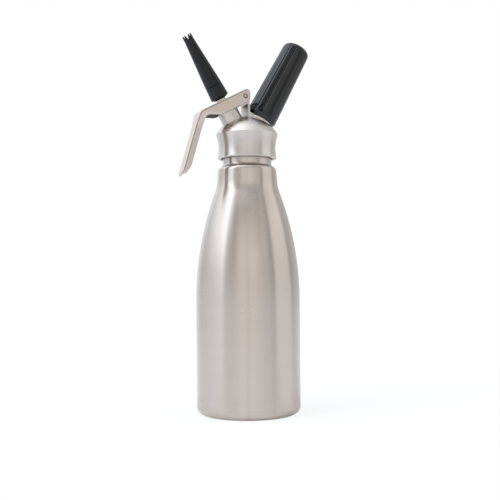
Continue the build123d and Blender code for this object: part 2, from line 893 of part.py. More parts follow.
def charger_holder_sleeve():
    """Moulded outer of the holder: tapered, with a round end, flutes and a plain mouth band."""
    bore = charger_radius + charger_room
    seat = liner_radius + press_fit
    liner_end = holder_rim + liner_inset + liner_length
    taper = math.degrees(math.atan(holder_taper()))
    rim = Polyline(
        (seat, liner_end),
        (seat, holder_rim),
        (holder_mouth_radius, holder_rim),
        (holder_radius, holder_rim + holder_mouth_height),
    )
    edge_turn = 90 - taper - holder_crown_lean
    edge_width = holder_end_edge * (cos(taper) - sin(holder_crown_lean))
    edge_height = holder_end_edge * (cos(holder_crown_lean) - sin(taper))
    crown_start = holder_end_radius - edge_width
    crown_rise = crown_start * tan(holder_crown_lean / 2)
    wall = Line(rim @ 1, (holder_end_radius, holder_end - crown_rise - edge_height))
    edge = JernArc(wall @ 1, wall % 1, holder_end_edge, edge_turn)
    crown = cap(tuple(edge @ 1)[:2], crown_rise)
    inner_end = Line(crown @ 1, (0, charger_end + charger_room))
    inner_round = RadiusArc(inner_end @ 1, (bore, charger_end - charger_radius), bore)
    inner_wall = Polyline(inner_round @ 1, (bore, liner_end), (seat, liner_end))
    shape = joined(rim, wall, edge, crown, inner_end, inner_round, inner_wall)
    body = turned(make_face(shape))
    flute = Pos(holder_radius + flute_radius - flute_depth, 0, holder_rim + flute_band) * (
        Rot(0, -taper, 0)
        * (
            Cylinder(flute_radius, holder_end - holder_rim, align=(Align.CENTER, Align.CENTER, Align.MIN))
            + Sphere(flute_radius)
        )
    )
    for flute_index in range(flute_count):
        body -= Rot(0, 0, 360 / flute_count * flute_index) * flute
    return on_charger(body)


PIECES = (
    bottle,
    head_gasket,
    head,
    lever,
    lever_pivot_pin,
    valve_stem,
    valve_gasket,
    stem_o_ring,
    stem_guide_bush,
    valve_spring,
    thrust_collar,
    collar_clip,
    nozzle_adapter,
    nozzle_seal,
    decorator_nozzle,
    gas_charger,
    charger_seal,
    piercing_pin,
    pin_retainer,
    charger_gasket,
    inlet_valve_rubber,
    charger_holder_liner,
    charger_holder_sleeve,
)

os.makedirs("parts", exist_ok=True)
for piece in PIECES:
    export_step(piece(), f"parts/{piece.__name__}.step")
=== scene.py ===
"""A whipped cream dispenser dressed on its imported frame, in a plain pale studio."""

import functools
import json
import logging
import math
from dataclasses import dataclass
from enum import Enum

import bmesh
import bpy
from mathutils import Matrix, Vector


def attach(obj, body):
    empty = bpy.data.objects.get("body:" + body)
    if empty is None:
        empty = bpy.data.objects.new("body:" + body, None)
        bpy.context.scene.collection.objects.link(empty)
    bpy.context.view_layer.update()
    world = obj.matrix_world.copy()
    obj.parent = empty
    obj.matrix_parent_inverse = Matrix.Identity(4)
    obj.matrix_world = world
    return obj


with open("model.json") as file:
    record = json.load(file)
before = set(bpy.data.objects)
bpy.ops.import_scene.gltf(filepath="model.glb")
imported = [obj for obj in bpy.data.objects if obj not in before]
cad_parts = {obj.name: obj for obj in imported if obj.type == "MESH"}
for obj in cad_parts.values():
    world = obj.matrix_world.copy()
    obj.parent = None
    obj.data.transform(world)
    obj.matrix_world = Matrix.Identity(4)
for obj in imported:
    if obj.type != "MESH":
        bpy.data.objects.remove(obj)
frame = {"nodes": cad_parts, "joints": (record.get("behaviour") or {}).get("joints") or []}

LOG = logging.getLogger("dispenser")
MM = 0.001
# Nearly all of a noise lies between these two values.
NOISE_LOW, NOISE_HIGH = 0.3, 0.7
# The brightest light of the room's walls, where 1 is white. Their ramps hold shares of it.
BRIGHTEST = 4.0
# How much more green and blue than red a fully cool light has.
COOL_GREEN, COOL_BLUE = 0.055, 0.13
# The front wall ends this many degrees to each side of the camera.
FRONT_REACH = 55

Amount = float | bpy.types.Node


class Seat(Enum):
    """The axis that a piece is made round, by the name of the joint that lies on it."""

    UPRIGHT = "head_turn"
    SPOUT = "nozzle_turn"
    CHARGER = "holder_turn"
    HINGE = "lever_press"

    @property
    def matrix(self) -> Matrix:
        """Places a shape made round Z, in metres, on this axis."""
        joint = next(joint for joint in frame["joints"] if joint["name"] == self.value)
        turn = Vector(joint["axis"]).to_track_quat("Z", "Y")
        return Matrix.Translation(joint["pos_m"]) @ turn.to_matrix().to_4x4()


class Lay(Enum):
    """Which way the fine lines of a worked surface run, as a line's size along X, Y and Z.

    The sizes are in millimetres. Real lines are too fine to show, so these are a few times as
    wide.
    """

    ROUND = (60.0, 60.0, 0.3)
    LONG = (0.3, 0.3, 60.0)
    EVEN = (0.6, 0.6, 0.6)


def linear(colour: str) -> tuple[float, float, float, float]:
    """Turn an sRGB hex colour into linear light.

    Args:
        colour: six hex digits after a hash sign.

    Returns:
        Red, green, blue and a full alpha.
    """
    channels = [int(colour[at : at + 2], 16) / 255 for at in (1, 3, 5)]
    bright = [c / 12.92 if c <= 0.04045 else ((c + 0.055) / 1.055) ** 2.4 for c in channels]
    return (*bright, 1.0)


def add(tree: bpy.types.NodeTree, kind: str, inputs: dict | None = None, **settings) -> bpy.types.Node:
    """Add a node with its settings and links.

    Args:
        tree: the node tree that it goes into.
        kind: the node's type, without its common prefix.
        inputs: for each input, by name or number, a value, a socket, or a node whose first
            output is linked.
        settings: the node's own properties.

    Returns:
        The new node.
    """
    node = tree.nodes.new("ShaderNode" + kind)
    for name, value in settings.items():
        setattr(node, name, value)
    for name, value in (inputs or {}).items():
        if isinstance(value, bpy.types.Node):
            value = next(socket for socket in value.outputs if not socket.is_unavailable)
        if isinstance(value, bpy.types.NodeSocket):
            tree.links.new(value, node.inputs[name])
        else:
            node.inputs[name].default_value = value
    return node


def seated(tree: bpy.types.NodeTree, seat: Seat) -> bpy.types.Node:
    """Coordinates on a piece's own axis, in millimetres.

    Args:
        tree: the node tree of the material.
        seat: the axis.

    Returns:
        The node that gives them.
    """
    place = add(tree, "TexCoord")
    return add(
        tree,
        "Mapping",
        {
            "Vector": place.outputs["Object"],
            "Location": seat.matrix.to_translation(),
            "Rotation": seat.matrix.to_euler(),
            "Scale": (MM, MM, MM),
        },
        vector_type="TEXTURE",
    )


def radius_of(tree: bpy.types.NodeTree, own: bpy.types.Node) -> bpy.types.NodeSocket:
    """Distance from the piece's own axis, in millimetres."""
    level = add(tree, "VectorMath", {0: own, 1: (1.0, 1.0, 0.0)}, operation="MULTIPLY")
    return add(tree, "VectorMath", {0: level}, operation="LENGTH").outputs["Value"]


@dataclass(frozen=True)
class Thread:
    """A rolled thread as a pattern on a round: its place on its axis, in millimetres."""

    seat: Seat
    radius: float
    low: float
    high: float
    pitch: float
    depth: float = 0.35
    band: float = 0.14

    def bump(self, tree: bpy.types.NodeTree, normal: bpy.types.Node) -> bpy.types.Node:
        """Add the thread's ridges to a surface.

        Args:
            tree: the node tree of the material.
            normal: the bump that it is added to.

        Returns:
            The bump with the thread.
        """
        own = seated(tree, self.seat)
        round_axis = add(tree, "TexGradient", {"Vector": own}, gradient_type="RADIAL")
        z = add(tree, "SeparateXYZ", {"Vector": own}).outputs["Z"]
        climb = add(tree, "Math", {0: z, 1: self.pitch}, operation="DIVIDE")
        phase = add(tree, "Math", {0: climb, 1: round_axis.outputs["Fac"]}, operation="SUBTRACT")
        ridge = add(tree, "Math", {0: phase, 1: 0.5}, operation="PINGPONG")
        on_round = add(
            tree,
            "Math",
            {0: radius_of(tree, own), 1: self.radius, 2: self.band},
            operation="COMPARE",
        )
        middle, reach = (self.low + self.high) / 2, (self.high - self.low) / 2
        on_length = add(tree, "Math", {0: z, 1: middle, 2: reach}, operation="COMPARE")
        masked = add(tree, "Math", {0: ridge, 1: on_round}, operation="MULTIPLY")
        height = add(tree, "Math", {0: masked, 1: on_length}, operation="MULTIPLY")
        # The ridge climbs only from 0 to a half, so the bump's distance is twice its depth.
        return add(
            tree,
            "Bump",
            {"Height": height, "Strength": 1.0, "Distance": self.depth * 2 * MM, "Normal": normal},
        )


@dataclass(frozen=True)
class Finish:
    """What all finishes have: a name, the axis the piece was worked round, colours and gloss.

    Args:
        light: the lighter of the two colours that its grain shows.
        dark: the darker one.
        roughness: the middle of its roughness.
        spread: how far slow changes move the roughness to each side.
        depth: the grain's height in millimetres.
        patch: the size of the slow changes along each axis, in millimetres.
        threads: the threads cut on the piece.
    """

    name: str
    seat: Seat = Seat.UPRIGHT
    light: str = "#cfc5bd"
    dark: str = "#c7bcb3"
    roughness: float = 0.3
    spread: float = 0.04
    depth: float = 0.0015
    patch: tuple[float, float, float] = (22.0, 22.0, 22.0)
    threads: tuple[Thread, ...] = ()

    def start(self) -> tuple[bpy.types.Material, bpy.types.NodeTree, bpy.types.Node]:
        """Make the empty material and its coordinates on the piece's own axis.

        Returns:
            The material, its node tree, and the coordinates' node.
        """
        material = bpy.data.materials.new(self.name)
        material.use_nodes = True
        material.node_tree.nodes.clear()
        return material, material.node_tree, seated(material.node_tree, self.seat)

    def noise(self, tree: bpy.types.NodeTree, own: bpy.types.Node, size: tuple) -> bpy.types.Node:
        """Noise whose grains have a size along each axis.

        Args:
            tree: the node tree of the material.
            own: the coordinates on the piece's axis, in millimetres.
            size: the size of a grain along each axis, in millimetres.

        Returns:
            The node that gives the noise.
        """
        scaled = add(tree, "Mapping", {"Vector": own, "Scale": tuple(1 / along for along in size)})
        return add(
            tree,
            "TexNoise",
            {"Vector": scaled, "Scale": 1.0, "Detail": 3.0, "Roughness": 0.6},
        )

    def uneven(
        self, tree: bpy.types.NodeTree, cloud: bpy.types.Node, middle: Amount
    ) -> bpy.types.Node:
        """Roughness that changes slowly over the surface.

        Args:
            tree: the node tree of the material.
            cloud: the slow noise.
            middle: the roughness that it moves round, as a value or a node.

        Returns:
            The node that gives the roughness.
        """
        change = add(
            tree,
            "MapRange",
            {
                "Value": cloud,
                "From Min": NOISE_LOW,
                "From Max": NOISE_HIGH,
                "To Min": -self.spread,
                "To Max": self.spread,
            },
        )
        return add(tree, "Math", {0: change, 1: middle}, operation="ADD")

    def grained(self, tree: bpy.types.NodeTree, grain: bpy.types.Node) -> bpy.types.Node:
        """The two colours, mixed by the grain."""
        return add(
            tree,
            "Mix",
            {"Factor": grain, "A": linear(self.dark), "B": linear(self.light)},
            data_type="RGBA",
        )

    def relief(self, tree: bpy.types.NodeTree, grain: bpy.types.Node) -> bpy.types.Node:
        """The grain's bump, with the threads on it.

        Args:
            tree: the node tree of the material.
            grain: the noise that gives the grain.

        Returns:
            The last bump.
        """
        bump = add(tree, "Bump", {"Height": grain, "Strength": 1.0, "Distance": self.depth * MM})
        for thread in self.threads:
            bump = thread.bump(tree, bump)
        return bump

    def close(self, tree: bpy.types.NodeTree, inputs: dict) -> None:
        """Add the shader and the output."""
        shader = add(tree, "BsdfPrincipled", inputs)
        add(tree, "OutputMaterial", {"Surface": shader})


@dataclass(frozen=True)
class WorkedMetal(Finish):
    """A metal whose surface shows how it was worked: brushed, turned, shaped in a press or drawn.

    The fine lines draw each reflection out across themselves, slow changes of roughness show
    where it has been handled, and rounded edges can take a colour of their own: worn and
    painted lighter as a highlight, or a dark line of painted shade.

    Args:
        anisotropic: how far the lines draw a reflection out.
        lay: which way the lines run.
        edge_wear_and_shading: how far the edges take on their own colour: worn metal with a
            painted highlight on the head, a line of painted shade on the lever.
        edge: the colour of the edges.
        edge_width: how far in from an edge its colour reaches, in millimetres.
        edge_start: the cosine of the turn, towards a rounded edge, at which the colour begins.
        edge_full: the cosine at which it is full.
    """

    anisotropic: float = 0.0
    lay: Lay = Lay.ROUND
    edge_wear_and_shading: float = 0.0
    # Lighter than the metal: worn edges with a painted highlight.
    edge: str = "#ece8e4"
    edge_width: float = 0.5
    edge_start: float = 0.97
    edge_full: float = 0.8

    def zones(self, tree: bpy.types.NodeTree) -> tuple[Amount, Amount]:
        """Roughness and anisotropy, each as a value or a node."""
        return self.roughness, self.anisotropic

    def edges(self, tree: bpy.types.NodeTree) -> bpy.types.Node:
        """Find the rounded edges, where hands and cloths rub and a painted highlight goes.

        Args:
            tree: the node tree of the material.

        Returns:
            The node that gives the share of the edges' colour.
        """
        soft = add(tree, "Bevel", {"Radius": self.edge_width * MM}, samples=4)
        plain = add(tree, "NewGeometry")
        turn = add(
            tree,
            "VectorMath",
            {0: soft, 1: plain.outputs["Normal"]},
            operation="DOT_PRODUCT",
        )
        return add(
            tree,
            "MapRange",
            {
                "Value": turn.outputs["Value"],
                "From Min": self.edge_start,
                "From Max": self.edge_full,
                "To Max": self.edge_wear_and_shading,
            },
        )

    def build(self) -> bpy.types.Material:
        """Make the material.

        Returns:
            The new material.
        """
        material, tree, own = self.start()
        grain = self.noise(tree, own, self.lay.value)
        cloud = self.noise(tree, own, self.patch)
        roughness, anisotropic = self.zones(tree)
        colour = self.grained(tree, grain)
        # Rounded edges get their own colour: worn with a painted highlight, or a painted shade line.
        if self.edge_wear_and_shading:
            colour = add(
                tree,
                "Mix",
                {"Factor": self.edges(tree), "A": colour, "B": linear(self.edge)},
                data_type="RGBA",
            )
        axis = self.seat.matrix.to_3x3() @ Vector((0.0, 0.0, 1.0))
        along = add(
            tree,
            "VectorTransform",
            {"Vector": axis},
            vector_type="VECTOR",
            convert_from="OBJECT",
            convert_to="WORLD",
        )
        self.close(
            tree,
            {
                "Base Color": colour,
                "Metallic": 1.0,
                "Roughness": self.uneven(tree, cloud, roughness),
                "Anisotropic": anisotropic,
                "Tangent": along,
                "Normal": self.relief(tree, grain),
            },
        )
        return material


@dataclass(frozen=True)
class PressedSheet(WorkedMetal):
    """Sheet bent in a press, with a dark line of painted shade on each side along its outer edge.

    Args:
        outer: the way that the outer edge faces.
        lean_start: how far a rounded normal leans that way where the line begins.
        lean_full: how far it leans where the line is full.
    """

    edge_width: float = 1.8
    outer: tuple[float, float, float] = (-0.75, 0.0, 0.66)
    lean_start: float = 0.05
    lean_full: float = 0.2

    def edges(self, tree: bpy.types.NodeTree) -> bpy.types.Node:
        """Find the line of painted shade, where a rounded normal leans out further than the surface's
        own.

        Args:
            tree: the node tree of the material.

        Returns:
            The node that gives the share of the painted shade's colour.
        """
        # Painted shade: a dark line where the rounded edge leans toward the outer side.
        soft = add(tree, "Bevel", {"Radius": self.edge_width * MM}, samples=8)
        plain = add(tree, "NewGeometry")
        lean = add(
            tree, "VectorMath", {0: soft, 1: plain.outputs["Normal"]}, operation="SUBTRACT"
        )
        outward = add(tree, "VectorMath", {0: lean, 1: self.outer}, operation="DOT_PRODUCT")
        return add(
            tree,
            "MapRange",
            {
                "Value": outward.outputs["Value"],
                "From Min": self.lean_start,
                "From Max": self.lean_full,
                "To Max": self.edge_wear_and_shading,
            },
        )


@dataclass(frozen=True)
class CastHead(WorkedMetal):
    """Cast stainless: the dome polished, the collar turned satin, the bosses and lug tumbled.

    Heights are from the neck's top, in millimetres.

    Args:
        dome_drop: how far down the middle of the dome's ball lies.
        dome_radius: the ball's radius.
        dome_band: how near to the ball a place is to count as on it.
        rim_rise: the height just under the dome's rim, where the collar's share ends.
        polish: the dome's roughness.
        buffed: the dome's share of the collar's anisotropy.
        tumbled: the roughness of the bosses and the lug.
    """

    dome_drop: float = 9.36
    dome_radius: float = 30.5
    dome_band: float = 0.15
    rim_rise: float = 5.15
    polish: float = 0.26
    buffed: float = 0.3
    tumbled: float = 0.46

    def zones(self, tree: bpy.types.NodeTree) -> tuple[Amount, Amount]:
        """Smooth on the dome's ball, satin on the turned collar, rougher on the rest.

        Args:
            tree: the node tree of the material.

        Returns:
            The nodes that give the roughness and the anisotropy.
        """
        own = seated(tree, Seat.UPRIGHT)
        to_ball = add(
            tree, "VectorMath", {0: own, 1: (0.0, 0.0, -self.dome_drop)}, operation="DISTANCE"
        )
        ball = add(
            tree,
            "Math",
            {0: to_ball.outputs["Value"], 1: self.dome_radius, 2: self.dome_band},
            operation="COMPARE",
        )
        z = add(tree, "SeparateXYZ", {"Vector": own}).outputs["Z"]
        above = add(tree, "Math", {0: z, 1: self.rim_rise}, operation="GREATER_THAN")
        dome = add(tree, "Math", {0: ball, 1: above}, operation="MULTIPLY")
        below = add(tree, "Math", {0: 1.0, 1: above}, operation="SUBTRACT")
        turned = add(tree, "Math", {0: dome, 1: below}, operation="ADD")
        lined = add(tree, "Math", {0: dome, 1: self.buffed, 2: below}, operation="MULTIPLY_ADD")
        rough = add(
            tree,
            "Mix",
            {"Factor": turned, "A": self.tumbled, "B": self.roughness},
            data_type="FLOAT",
        )
        smooth = add(
            tree,
            "Mix",
            {"Factor": dome, "A": rough, "B": self.polish},
            data_type="FLOAT",
        )
        drawn = add(tree, "Math", {0: lined, 1: self.anisotropic}, operation="MULTIPLY")
        return smooth, drawn


@dataclass(frozen=True)
class RivetedPin(WorkedMetal):
    """Turned pin whose rivet heads have a dark ring of painted shade, the gap's shadow, round a bright
    middle.
    """

    # A dark ring of painted shade stands for the shadow in the gap round each rivet head.
    ring_radius: float = 1.55
    ring_width: float = 0.35
    painted_gap_shade: str = "#5a544f"

    def grained(self, tree: bpy.types.NodeTree, grain: bpy.types.Node) -> bpy.types.Node:
        """The colours of the metal, dark in a ring of painted shade round the rivet head.

        Args:
            tree: the node tree of the material.
            grain: the noise that gives the grain.

        Returns:
            The node that gives the colour.
        """
        metal = super().grained(tree, grain)
        own = seated(tree, self.seat)
        # Painted shade: the dark ring round the head.
        ring = add(
            tree,
            "Math",
            {0: radius_of(tree, own), 1: self.ring_radius, 2: self.ring_width},
            operation="COMPARE",
        )
        return add(
            tree,
            "Mix",
            {"Factor": ring, "A": metal, "B": linear(self.painted_gap_shade)},
            data_type="RGBA",
        )


@dataclass(frozen=True)
class Moulded(Finish):
    """Plastic or rubber from a mould: a fine skin that blurs its gloss, and faint flow lines.

    Args:
        grit: the size of the skin's grains along each axis, in millimetres.
        gloss: the shader's specular level.
    """

    light: str = "#101012"
    dark: str = "#0b0b0c"
    roughness: float = 0.32
    spread: float = 0.06
    depth: float = 0.012
    patch: tuple[float, float, float] = (3.0, 3.0, 40.0)
    grit: tuple[float, float, float] = (0.5, 0.5, 0.5)
    gloss: float = 0.34

    def build(self) -> bpy.types.Material:
        """Make the material.

        Returns:
            The new material.
        """
        material, tree, own = self.start()
        skin = self.noise(tree, own, self.grit)
        cloud = self.noise(tree, own, self.patch)
        self.close(
            tree,
            {
                "Base Color": self.grained(tree, cloud),
                "Roughness": self.uneven(tree, cloud, self.roughness),
                "Specular IOR Level": self.gloss,
                "Normal": self.relief(tree, skin),
            },
        )
        return material


@functools.cache
def dressed(finish: Finish) -> bpy.types.Material:
    """Make a finish's material once, and give the same one after that."""
    return finish.build()


def dress(finish: Finish, *nodes: str) -> None:
    """Give nodes of the frame their finish.

    Args:
        finish: the finish they get.
        nodes: the nodes' names.
    """
    for node in nodes:
        mesh = frame["nodes"][node].data
        mesh.materials.clear()
        mesh.materials.append(dressed(finish))
        LOG.info("%s: %s", node, finish.name)


@dataclass(frozen=True)
class ThreadRidge:
    """One helical ridge that stands out from a round, or into a bore, on the upright axis.

    Sizes are in millimetres, and heights are from the neck's top.

    Args:
        body: the body that it rides on.
        root: the radius that it stands on.
        crest: the radius that it reaches.
        start_turn: where round the axis it starts, in degrees.
        run_out: the share of its length over which each end dies away.
    """

    name: str
    body: str
    root: float
    crest: float
    pitch: float
    low: float
    high: float
    start_turn: float = 0.0
    root_width: float = 1.5
    crest_width: float = 0.6
    steps_each_turn: int = 64
    run_out: float = 0.07

    def build(self, finish: Finish) -> bpy.types.Object:
        """Make the ridge.

        Args:
            finish: the finish it gets.

        Returns:
            The new object, riding on its body.
        """
        turns = (self.high - self.low) / self.pitch
        steps = round(turns * self.steps_each_turn)
        shape = bmesh.new()
        half_root, half_crest = self.root_width / 2, self.crest_width / 2
        corners = (
            (self.root, -half_root),
            (self.crest, -half_crest),
            (self.crest, half_crest),
            (self.root, half_root),
        )
        section = shape.faces.new([shape.verts.new((x, 0.0, z + self.low)) for x, z in corners])
        bmesh.ops.spin(
            shape,
            geom=[section, *section.edges, *section.verts],
            axis=(0.0, 0.0, 1.0),
            dvec=(0.0, 0.0, (self.high - self.low) / steps),
            angle=2 * math.pi * turns,
            steps=steps,
        )
        for vert in shape.verts:
            share = (vert.co.z - self.low) / (self.high - self.low)
            ends = max(0.0, min(share, 1.0 - share)) / self.run_out
            radius = math.hypot(vert.co.x, vert.co.y)
            rise = (radius - self.root) * min(1.0, ends)
            vert.co.xy *= (self.root + rise) / radius
        bmesh.ops.recalc_face_normals(shape, faces=shape.faces)
        turned = Matrix.Rotation(math.radians(self.start_turn), 4, "Z")
        shape.transform(Seat.UPRIGHT.matrix @ turned @ Matrix.Scale(MM, 4))
        mesh = bpy.data.meshes.new(self.name)
        shape.to_mesh(mesh)
        shape.free()
        mesh.materials.append(dressed(finish))
        ridge = bpy.data.objects.new(self.name, mesh)
        bpy.context.scene.collection.objects.link(ridge)
        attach(ridge, self.body)
        LOG.info("%s: %s", self.name, finish.name)
        return ridge


@dataclass(frozen=True)
class BottleUnit:
    """The drawn bottle with the thread on its neck, whose heights are from the neck's top."""

    neck_radius: float = 21.05
    thread_crest: float = 22.15
    thread_pitch: float = 4.0
    thread_low: float = -13.5
    thread_high: float = -3.5

    def build(self) -> None:
        """Dress the bottle and roll its thread."""
        # Deep-drawn 18/8 stainless, brushed round and round: level lines draw reflections tall.
        steel = WorkedMetal("stainless_brushed_round", anisotropic=0.9, roughness=0.25, spread=0.03)
        dress(steel, "bottle")
        ridge = ThreadRidge(
            "neck_thread",
            "bottle",
            self.neck_radius,
            self.thread_crest,
            self.thread_pitch,
            self.thread_low,
            self.thread_high,
        )
        ridge.build(steel)


@dataclass(frozen=True)
class HeadUnit:
    """The cast head with its bore's thread and its rubbers.

    The bore's heights are from the bottle neck's top, and the spigot's from the holder's rim.
    """

    bore_radius: float = 22.65
    thread_crest: float = 21.5
    thread_pitch: float = 4.0
    thread_low: float = -13.5
    thread_high: float = -3.5
    spigot_radius: float = 10.25
    spigot_low: float = 1.0
    spigot_high: float = 8.6
    spigot_pitch: float = 2.0

    def build(self) -> None:
        """Dress the head and its rubbers, and cut its threads."""
        spigot = Thread(
            Seat.CHARGER,
            self.spigot_radius,
            self.spigot_low,
            self.spigot_high,
            self.spigot_pitch,
        )
        # Cast stainless turned on its outside: its dome is buffed and its bosses are tumbled.
        steel = CastHead(
            "stainless_cast_turned",
            light="#d6cfc8",
            dark="#cec7c0",
            anisotropic=0.8,
            roughness=0.33,
            # Its rounded edges are painted lighter: worn metal with a painted highlight.
            edge_wear_and_shading=0.5,
            threads=(spigot,),
        )
        dress(steel, "head")
        ridge = ThreadRidge(
            "bore_thread",
            "head",
            self.bore_radius,
            self.thread_crest,
            self.thread_pitch,
            self.thread_low,
            self.thread_high,
            start_turn=180.0,
        )
        ridge.build(steel)
        # Silicone from a spark-eroded mould: an even grey skin with hardly any gloss.
        rubber = Moulded("silicone_moulded", light="#c9c9c4", dark="#bcbcb6", roughness=0.55)
        dress(rubber, "head_gasket", "valve_gasket", "stem_o_ring", "nozzle_seal")
        dress(rubber, "charger_gasket", "inlet_valve_rubber")


@dataclass(frozen=True)
class LeverUnit:
    """The pressed lever and its riveted pin."""

    def build(self) -> None:
        """Dress the lever and its pin."""
        # Stainless sheet from a press, tumbled: a soft even shine with no direction, and a dark
        # line of painted shade along the outer edge.
        sheet = PressedSheet(
            "stainless_pressed_tumbled",
            light="#dacfc3",
            dark="#d3c8bc",
            roughness=0.42,
            lay=Lay.EVEN,
            # A dark line of painted shade where the outer edge rounds over.
            edge_wear_and_shading=1.0,
            edge="#38332e",
        )
        dress(sheet, "lever")
        # Turned rod with riveted heads, each with a dark ring of painted shade round a bright middle.
        pin = RivetedPin("stainless_riveted_pin", Seat.HINGE, roughness=0.3)
        dress(pin, "lever_pivot_pin")


@dataclass(frozen=True)
class ValveUnit:
    """The stem with its collar and clip, the bush and the spring.

    The thread's heights are from the adapter's top.
    """

    stem_radius: float = 4.0
    thread_low: float = -9.5
    thread_high: float = 0.4
    thread_pitch: float = 1.5
    thread_depth: float = 0.25

    def build(self) -> None:
        """Dress the valve's metal pieces."""
        rolled = Thread(
            Seat.SPOUT,
            self.stem_radius,
            self.thread_low,
            self.thread_high,
            self.thread_pitch,
            self.thread_depth,
        )
        # Bright turned stainless: rings from the tool draw the light along the stem.
        turned = WorkedMetal(
            "stainless_turned", Seat.SPOUT, roughness=0.22, anisotropic=0.5, threads=(rolled,)
        )
        dress(turned, "valve_stem", "thrust_collar")
        # Hard-drawn wire: lines along the pull, duller than the turned steel.
        wire = WorkedMetal("spring_wire_drawn", Seat.SPOUT, light="#b5b4b2", dark="#a3a2a0")
        dress(wire, "valve_spring", "collar_clip")
        # Turned brass, yellow against the steel round it.
        brass = WorkedMetal(
            "brass_turned", Seat.SPOUT, light="#d9b96a", dark="#c7a556", roughness=0.25
        )
        dress(brass, "stem_guide_bush")


@dataclass(frozen=True)
class NozzleUnit:
    """The toothed nozzle and the collar that carries it.

    The thread's heights are from the adapter's top.
    """

    spigot_radius: float = 4.95
    thread_low: float = 0.8
    thread_high: float = 6.4
    thread_pitch: float = 1.5
    thread_depth: float = 0.25

    def build(self) -> None:
        """Dress the nozzle and its adapter."""
        moulded = Thread(
            Seat.SPOUT,
            self.spigot_radius,
            self.thread_low,
            self.thread_high,
            self.thread_pitch,
            self.thread_depth,
        )
        # Black polypropylene drawn lengthwise out of its mould: fine streaks and a satin skin.
        plastic = Moulded(
            "polypropylene_drawn", Seat.SPOUT, grit=(0.5, 0.5, 2.5), threads=(moulded,)
        )
        dress(plastic, "decorator_nozzle", "nozzle_adapter")


@dataclass(frozen=True)
class ChargerUnit:
    """The gas charger, its holder and the pieces that pierce and seal it.

    The thread's heights are from the holder's rim.
    """

    liner_bore: float = 10.35
    thread_low: float = 0.8
    thread_high: float = 9.5
    thread_pitch: float = 2.0

    def build(self) -> None:
        """Dress the charger and all that is round it."""
        cut = Thread(
            Seat.CHARGER, self.liner_bore, self.thread_low, self.thread_high, self.thread_pitch
        )
        # Glossy black polypropylene from a polished mould: sharp lights along its flutes.
        plastic = Moulded(
            "polypropylene_fluted",
            Seat.CHARGER,
            light="#0a0a0b",
            dark="#060607",
            roughness=0.17,
            gloss=0.52,
        )
        dress(plastic, "charger_holder_sleeve")
        # Turned aluminium, whiter than the steel, with the thread's bright flanks.
        aluminium = WorkedMetal(
            "aluminium_turned", Seat.CHARGER, light="#dcdddf", dark="#cfd0d2", threads=(cut,)
        )
        dress(aluminium, "charger_holder_liner")
        # Drawn steel under bright zinc: bluish, with faint lines along the draw.
        zinc = WorkedMetal(
            "zinc_plated_drawn", Seat.CHARGER, light="#cbcccf", dark="#bbbcc0", lay=Lay.LONG
        )
        dress(zinc, "gas_charger", "charger_seal")
        # Ground stainless needle: bright, with lines round it.
        ground = WorkedMetal("stainless_ground", Seat.CHARGER, roughness=0.2, anisotropic=0.5)
        dress(ground, "piercing_pin")
        # Turned brass, yellow against the steel round it.
        brass = WorkedMetal(
            "brass_turned_ring", Seat.CHARGER, light="#d9b96a", dark="#c7a556", roughness=0.25
        )
        dress(brass, "pin_retainer")


@dataclass(frozen=True)
class StudioCamera:
    """A camera below the object's middle, tilted up a little, left of straight in front.

    Lengths are in millimetres and angles in degrees. The pan, tilt and roll turn it from level,
    straight at the upright axis.
    """

    azimuth: float = -20.5
    distance: float = 711.0
    height: float = 123.0
    lens: float = 59.04
    pan: float = -0.16
    tilt: float = 1.4
    roll: float = -0.4

    def build(self) -> None:
        """Make the camera and set it as the scene's."""
        data = bpy.data.cameras.new("camera")
        data.lens = self.lens
        data.clip_start = 0.01
        camera = bpy.data.objects.new("camera", data)
        bpy.context.scene.collection.objects.link(camera)
        turn = math.radians(self.azimuth)
        place = Vector((math.sin(turn), -math.cos(turn), 0.0)) * self.distance * MM
        place.z = self.height * MM
        camera.matrix_world = (
            Matrix.Translation(place)
            @ Matrix.Rotation(math.radians(self.azimuth + self.pan), 4, "Z")
            @ Matrix.Rotation(math.radians(90.0 + self.tilt), 4, "X")
            @ Matrix.Rotation(math.radians(self.roll), 4, "Z")
        )
        bpy.context.scene.camera = camera
        LOG.info("camera: %.0f mm away", self.distance)


@dataclass(frozen=True)
class SoftBox:
    """A square lamp with a cloth front, aimed a little above the object's middle."""

    name: str
    azimuth: float
    elevation: float
    distance: float
    width: float
    power: float
    aim: float = 180.0

    def place(self) -> None:
        """Make the lamp."""
        data = bpy.data.lights.new(self.name, "AREA")
        data.shape = "SQUARE"
        data.size = self.width * MM
        data.energy = self.power
        lamp = bpy.data.objects.new(self.name, data)
        lamp.visible_glossy = False
        bpy.context.scene.collection.objects.link(lamp)
        turn, rise = math.radians(self.azimuth), math.radians(self.elevation)
        back = Vector(
            (math.sin(turn) * math.cos(rise), -math.cos(turn) * math.cos(rise), math.sin(rise))
        )
        place = back * self.distance * MM + Vector((0.0, 0.0, self.aim * MM))
        turned = back.to_track_quat("Z", "Y").to_matrix().to_4x4()
        lamp.matrix_world = Matrix.Translation(place) @ turned


